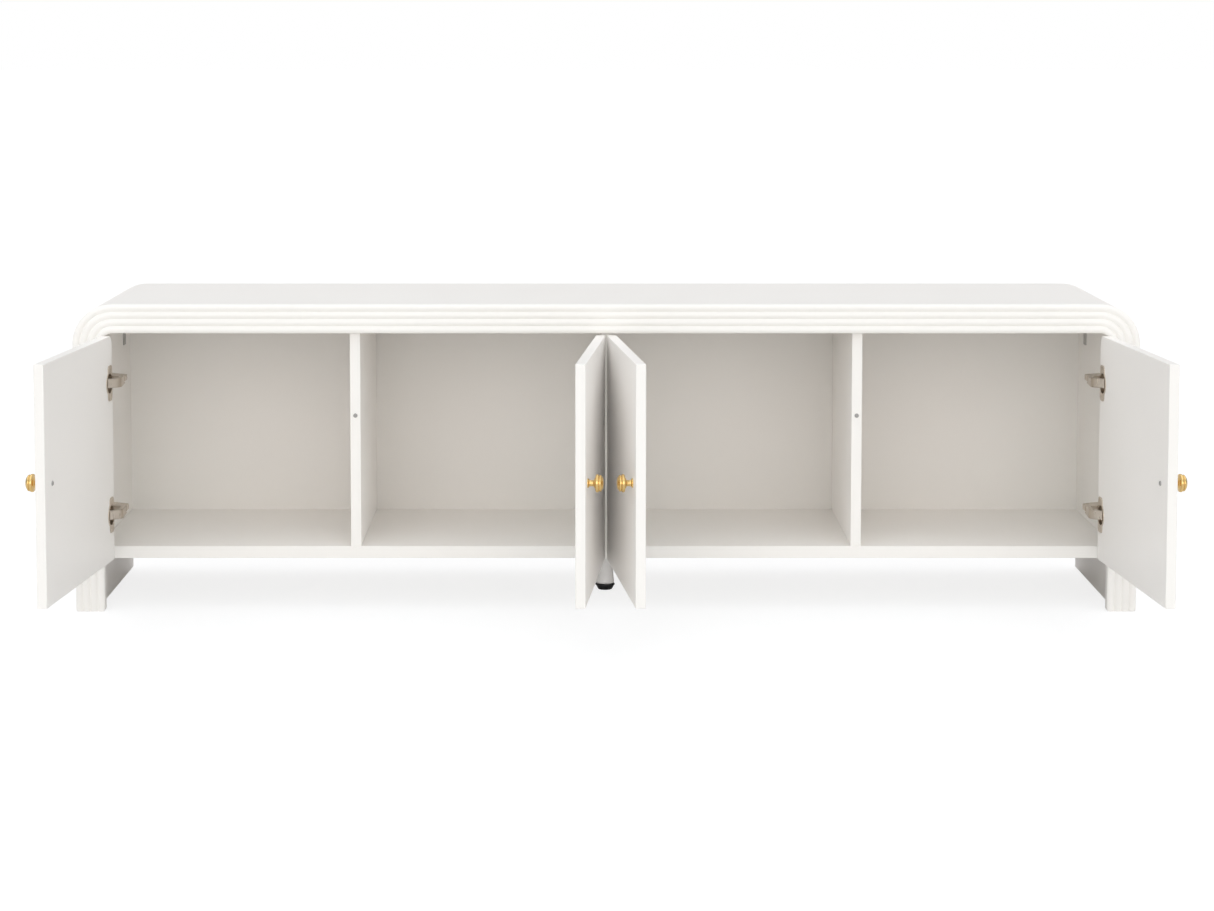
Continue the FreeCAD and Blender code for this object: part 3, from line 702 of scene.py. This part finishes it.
def build_arms(name):
    """Cranked channel arms: a web with two lips, an eye at the pin and a rolled end in the cup."""
    place = door_place(name, False)
    tip = swung_point(name, 20.5 * MM, DOOR_BOARD - 1.6 * MM)
    pin = Vector((PIN_IN, PIN_BACK))
    crank = [pin + Vector((0.9 * MM, -20 * MM)), Vector((PIN_IN + 2 * MM, 4 * MM))]
    crank.append(Vector((PIN_IN + 0.6 * MM, -9 * MM)))
    path = smooth_path([pin, *crank, tip])
    clear = [p for p in path if (p - pin).length > 9.2 * MM]
    bm = bmesh.new()
    for z in HINGE_HEIGHTS:
        low, high = z - ARM_TALL / 2, z + ARM_TALL / 2
        add_strip(bm, clear, ARM_HALF - ARM_WEB, ARM_HALF, low + 0.2 * MM, high - 0.2 * MM, place)
        lips = ((low, low + ARM_LIP), (high - ARM_LIP, high))
        for under, over in lips:
            add_strip(bm, path, -ARM_HALF, ARM_HALF, under, over, place)
        for under, over in lips:
            eye = [(EYE_RADIUS, 0), (EYE_RADIUS, over - under)]
            add_turned(bm, eye, place @ Matrix.Translation((pin.x, pin.y, under)), 40)
        roll = [(ROLL_RADIUS, 0), (ROLL_RADIUS, ARM_TALL)]
        add_turned(bm, roll, place @ Matrix.Translation((tip.x, tip.y, low)), 40)
    node = "hinge_arms_" + name
    piece("fine_" + node, bm, "nickel", "arms_" + name, [node], bevel=0.3 * MM, segments=2)


def build_pins(name):
    place = door_place(name, False)
    bm = bmesh.new()
    for z in HINGE_HEIGHTS:
        low, high = z - ARM_TALL / 2 - 0.25 * MM, z + ARM_TALL / 2 + 0.25 * MM
        end = PIN_RADIUS - 0.5 * MM
        profile = [(end, low), (PIN_RADIUS, low + 0.4 * MM), (PIN_RADIUS, high - 0.4 * MM), (end, high)]
        add_turned(bm, softened(profile, 0.3 * MM), place @ Matrix.Translation((PIN_IN, PIN_BACK, 0)), 32)
    piece("fine_hinge_pins_" + name, bm, "nickel", "arms_" + name, ["hinge_pins_" + name])


# Upper half of a mounting plate's outline, (distance back from the front, height) in millimetres
PLATE_OUTLINE = [
    (36, 6), (62.5, 6), (64, 8), (64, 18), (66, 22), (70, 23), (74, 22), (76, 18), (76, 8),
    (77.5, 6), (86.5, 6), (87.5, 5),
]


def plate_offset(name, place):
    """Local X of the face that the door's mounting plates are screwed to."""
    gap = abs(DOORS[name][1] - place.translation.x)
    return -gap if name.endswith("outer") else gap


def add_plate(bm, place, offset, z):
    """One mounting plate: base, two wings with rounded ends, and the tapering channel that holds the pin."""
    lower = [(y, -height) for y, height in PLATE_OUTLINE]
    outline = in_millimetres([lower[0], *PLATE_OUTLINE, *reversed(lower[1:])])
    face = offset + PLATE_SHEET
    add_rings(bm, [[place @ Vector((x, y, z + height)) for y, height in outline] for x in (offset, face)])
    tall, wall = 4.3 * MM, 3.4 * MM
    side = [
        (face, 86 * MM), (face, 50 * MM), (PIN_IN - wall, PIN_BACK), (PIN_IN + wall, PIN_BACK),
        (PIN_IN + wall, 68 * MM), (PIN_IN + 1.0 * MM, 73 * MM), (offset + 7 * MM, 86 * MM),
    ]
    add_rings(bm, [[place @ Vector((x, y, z + height)) for x, y in side] for height in (-tall, tall)])
    outward = place.to_3x3() @ Vector((1, 0, 0))
    adjusters = ((PIN_IN + 3.3 * MM, 60 * MM, 2.9 * MM), (offset + 11.5 * MM, 80 * MM, 2.5 * MM))
    for x, y, radius in adjusters:
        profile = softened([(radius, -2 * MM), (radius, 0.5 * MM), (0.3 * MM, 0.6 * MM)], 0.3 * MM)
        add_turned(bm, profile, facing(outward, place @ Vector((x, y, z))), 36)


def build_plates(head):
    plates, screws = bmesh.new(), bmesh.new()
    for name, (direction, _) in DOORS.items():
        place = door_place(name, False)
        offset = plate_offset(name, place)
        seats = []
        for z in HINGE_HEIGHTS:
            add_plate(plates, place, offset, z)
            for side in (-1, 1):
                spot = Vector((offset + 2.3 * MM, PLATE_SCREW_BACK, z + side * PLATE_SCREW_RISE))
                seats.append((place @ spot, Vector((direction, 0, 0))))
        add_screws(screws, head, seats, PLATE_SCREW_LENGTH, SCREW_RADIUS)
    piece("fine_hinge_plates", plates, "nickel", "cabinet", ["hinge_plates"], bevel=0.35 * MM, segments=2)
    piece("fine_hinge_plate_screws", screws, "nickel", "cabinet", ["hinge_plate_screws"])


def build_packers():
    """Painted blocks behind the outer hinges."""
    low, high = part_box("hinge_packers")
    bm = bmesh.new()
    for side in (-1, 1):
        for z in HINGE_HEIGHTS:
            near, far = sorted((side * SIDE_INNER, side * OPENING))
            add_box(bm, (near, low.y, z - PACKER_HALF), (far, high.y, z + PACKER_HALF))
    piece("fine_hinge_packers", bm, "upright", "cabinet", ["hinge_packers"], bevel=0.8 * MM)


# ---- small parts ---------------------------------------------------------------------------------

def strap_line(low):
    """The right strap's outer face from the side to the top, each (point in XZ, outward direction in XZ)."""
    line = [(Vector((SIDE_INNER, low.z)), Vector((1, 0)))]
    for turn in quarter(16):
        out = Vector((math.cos(turn), math.sin(turn)))
        line.append((Vector((CORNER_X, CORNER_Z)) + out * (SIDE_INNER - CORNER_X), out))
    line.append((Vector((low.x, CEILING)), Vector((0, 1))))
    return line


def add_strap(bm, line, side, y):
    rings = []
    for point, out in line:
        near = point - out * STRAP_SHEET
        section = ((point, -STRAP_HALF), (near, -STRAP_HALF), (near, STRAP_HALF), (point, STRAP_HALF))
        rings.append([Vector((side * p.x, y + across, p.y)) for p, across in section])
    add_rings(bm, rings)


def build_straps(head):
    """Bent steel straps inside the rounded corners, with their screws."""
    low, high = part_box("corner_straps_right")
    line = strap_line(low)
    screws = bmesh.new()
    for side, name in ((1, "right"), (-1, "left")):
        bm = bmesh.new()
        for y in (low.y + STRAP_HALF, high.y - STRAP_HALF):
            add_strap(bm, line, side, y)
            into_side = Vector((side * (SIDE_INNER - STRAP_SHEET), y, CORNER_Z - STRAP_SCREW_FROM_CORNER))
            into_top = Vector((side * (CORNER_X - STRAP_SCREW_FROM_CORNER), y, CEILING - STRAP_SHEET))
            seats = [(into_side, Vector((-side, 0, 0))), (into_top, Vector((0, 0, -1)))]
            add_screws(screws, head, seats, BOARD_SCREW_LENGTH, SCREW_RADIUS)
        piece("fine_corner_straps_" + name, bm, "zinc", "cabinet", ["corner_straps_" + name], bevel=0.4 * MM)
    piece("fine_corner_strap_screws", screws, "zinc", "cabinet", ["corner_strap_screws"])


def build_back_screws(head):
    heights = (FLOOR_UNDER + 70.5 * MM, DOOR_MIDDLE, CEILING - 50 * MM)
    centres = [(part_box(node)[0].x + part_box(node)[1].x) / 2 for node in PARTITIONS]
    spots = [(x, z) for x in centres for z in heights]
    spots += [(side * x * MM, FLOOR_UNDER + 10.5 * MM) for side in (-1, 1) for x in (210, 640, 840)]
    seats = [(Vector((x, REAR - 0.2 * MM, z)), Vector((0, 1, 0))) for x, z in spots]
    bm = bmesh.new()
    add_screws(bm, head, seats, BOARD_SCREW_LENGTH, SCREW_RADIUS)
    piece("fine_back_panel_screws", bm, "zinc", "cabinet", ["back_panel_screws"])


# (radius, height over the floor) in millimetres
LEG_PROFILE = [
    (0.5, 11.0), (14.4, 11.0), (15.9, 12.4), (15.9, 16.0), (14.5, 25.0), (14.0, 51.0), (14.5, 85.0),
    (14.0, 88.4), (0.5, 88.4),
]
PAD_PROFILE = [
    (0.5, 0.0), (11.6, 0.0), (12.5, 0.9), (15.8, 7.0), (17.0, 8.0), (17.0, 9.9), (16.2, 10.7), (0.5, 10.7),
]


def build_support():
    """The turned leg and its glide."""
    bm = bmesh.new()
    add_turned(bm, softened(in_millimetres(LEG_PROFILE), 3 * MM, 6), Matrix.Identity(4), 96)
    piece("fine_support_leg", bm, "support", "cabinet", ["support_leg"], sharp=50)
    bm = bmesh.new()
    add_turned(bm, softened(in_millimetres(PAD_PROFILE), 0.8 * MM), Matrix.Identity(4), 96)
    piece("fine_glide_pad", bm, "black", "glide", ["glide_pad"], sharp=50)


def build_bumpers():
    low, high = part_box("door_bumpers")
    reach = (high.z - low.z) / 2
    dome = [(reach, 0), (reach, 1.4 * MM), (reach * 0.72, 2.4 * MM), (0.1 * MM, 2.58 * MM)]
    profile = softened(dome, 0.5 * MM)
    bm = bmesh.new()
    for x in (low.x + reach, high.x - reach):
        add_turned(bm, profile, facing((0, -1, 0), (x, high.y, (low.z + high.z) / 2)), 48)
    piece("fine_door_bumpers", bm, "rubber", "cabinet", ["door_bumpers"], sharp=60)


# ---- the whole object ----------------------------------------------------------------------------

build_arch()
build_back()
build_board("floor_panel", "flat")
for partition in PARTITIONS:
    build_board(partition, "upright")

flat_head = screw_head(radius=3.3 * MM, rise=0.35 * MM, recess=2.0 * MM)
round_head = screw_head(radius=4.0 * MM, rise=2.2 * MM, recess=2.4 * MM)
for door in DOORS:
    build_slab(door)
    build_cups(door)
    build_cup_screws(door, flat_head)
    build_knob(door)
    build_knob_screw(door, round_head)
    build_arms(door)
    build_pins(door)
build_plates(flat_head)
build_packers()
build_straps(flat_head)
build_back_screws(flat_head)
build_support()
build_bumpers()

CAD_FINISH = {
    "assembly_dowels": "beech",
    "support_hanger_bolt": "zinc",
    "support_insert": "zinc",
    "glide_stem": "zinc",
}
for node_name, finish_name in CAD_FINISH.items():
    for material_slot in frame["nodes"][node_name].material_slots:
        material_slot.material = MATERIALS[finish_name]


# ---- stage, light and camera ---------------------------------------------------------------------

def studio_paper():
    """The floor: a pale bounce for the object, and near white with a faint shadow to the camera."""
    paper = bpy.data.materials.new("studio_paper")
    paper.use_nodes = True
    nodes, links = paper.node_tree.nodes, paper.node_tree.links
    nodes.remove(nodes["Principled BSDF"])
    bounce, shade = nodes.new("ShaderNodeBsdfDiffuse"), nodes.new("ShaderNodeBsdfDiffuse")
    glow, seen = nodes.new("ShaderNodeEmission"), nodes.new("ShaderNodeAddShader")
    choice, path = nodes.new("ShaderNodeMixShader"), nodes.new("ShaderNodeLightPath")
    bounce.inputs["Color"].default_value = (0.79, 0.775, 0.76, 1)
    shade.inputs["Color"].default_value = (0.27, 0.27, 0.27, 1)
    glow.inputs["Strength"].default_value = 0.78
    links.new(shade.outputs["BSDF"], seen.inputs[0])
    links.new(glow.outputs["Emission"], seen.inputs[1])
    links.new(path.outputs["Is Camera Ray"], choice.inputs["Fac"])
    links.new(bounce.outputs["BSDF"], choice.inputs[1])
    links.new(seen.outputs["Shader"], choice.inputs[2])
    links.new(choice.outputs["Shader"], nodes["Material Output"].inputs["Surface"])
    return paper


def build_stage():
    bm = bmesh.new()
    bmesh.ops.create_grid(bm, x_segments=1, y_segments=1, size=60)
    mesh = bpy.data.meshes.new("floor")
    bm.to_mesh(mesh)
    bm.free()
    floor = bpy.data.objects.new("studio_floor", mesh)
    scene.collection.objects.link(floor)
    mesh.materials.append(studio_paper())


# Light by the direction it comes from
LIGHT_SIDES = (0.38, 0.38, 0.38)
LIGHT_BEHIND = (0.46, 0.46, 0.46)
LIGHT_ABOVE = (1.30, 1.33, 1.39)
LIGHT_FRONT_RIM = (0.92, 1.04, 1.08)
LIGHT_FRONT = (2.36, 2.22, 2.18)
BACKDROP = (1.0, 1.0, 1.0)


def build_world():
    """White all round to the camera.

    The light itself is strongest from the front, softer from above and faint from the sides and behind.
    """
    world = bpy.data.worlds.new("studio")
    scene.world = world
    world.use_nodes = True
    nodes, links = world.node_tree.nodes, world.node_tree.links

    def share(value, low, high):
        node = nodes.new("ShaderNodeMapRange")
        node.interpolation_type = "SMOOTHSTEP"
        node.inputs["From Min"].default_value = low
        node.inputs["From Max"].default_value = high
        links.new(value, node.inputs["Value"])
        return node.outputs["Result"]

    def blend(factor, a, b):
        node = nodes.new("ShaderNodeMix")
        node.data_type = "RGBA"
        links.new(factor, node.inputs["Factor"])
        for socket, value in (("A", a), ("B", b)):
            if isinstance(value, tuple):
                node.inputs[socket].default_value = (*value, 1)
            else:
                links.new(value, node.inputs[socket])
        return node.outputs["Result"]

    place, path = nodes.new("ShaderNodeTexCoord"), nodes.new("ShaderNodeLightPath")
    split = nodes.new("ShaderNodeSeparateXYZ")
    links.new(place.outputs["Generated"], split.inputs["Vector"])
    round_about = blend(share(split.outputs["Y"], -0.15, 0.30), LIGHT_SIDES, LIGHT_BEHIND)
    roofed = blend(share(split.outputs["Z"], 0.45, 0.80), round_about, LIGHT_ABOVE)
    rimmed = blend(share(split.outputs["Y"], -0.45, -0.72), roofed, LIGHT_FRONT_RIM)
    lit = blend(share(split.outputs["Y"], -0.78, -0.94), rimmed, LIGHT_FRONT)
    seen = blend(path.outputs["Is Camera Ray"], lit, BACKDROP)
    links.new(seen, nodes["Background"].inputs["Color"])


def build_key_light():
    data = bpy.data.lights.new("key", "AREA")
    data.shape = "RECTANGLE"
    data.size, data.size_y = 1.6, 1.0
    data.energy = 2
    lamp = bpy.data.objects.new("key", data)
    lamp.location = (-1.4, -5.0, 2.4)
    lamp.rotation_mode = "QUATERNION"
    lamp.rotation_quaternion = (Vector((0, 0, 0.3)) - lamp.location).to_track_quat("-Z", "Y")
    scene.collection.objects.link(lamp)


def build_camera():
    data = bpy.data.cameras.new("camera")
    data.sensor_width = 36
    data.lens = 85.3
    data.shift_x = 0.0197
    data.shift_y = -0.1505
    data.clip_end = 200
    camera = bpy.data.objects.new("camera", data)
    camera.location = (-0.0389, -5.018, 0.9906)
    camera.rotation_euler = (math.radians(90 - 4.9), 0, 0)
    scene.collection.objects.link(camera)
    scene.camera = camera


build_stage()
build_world()
build_key_light()
build_camera()
scene.view_settings.view_transform = "Standard"
scene.view_settings.look = "None"
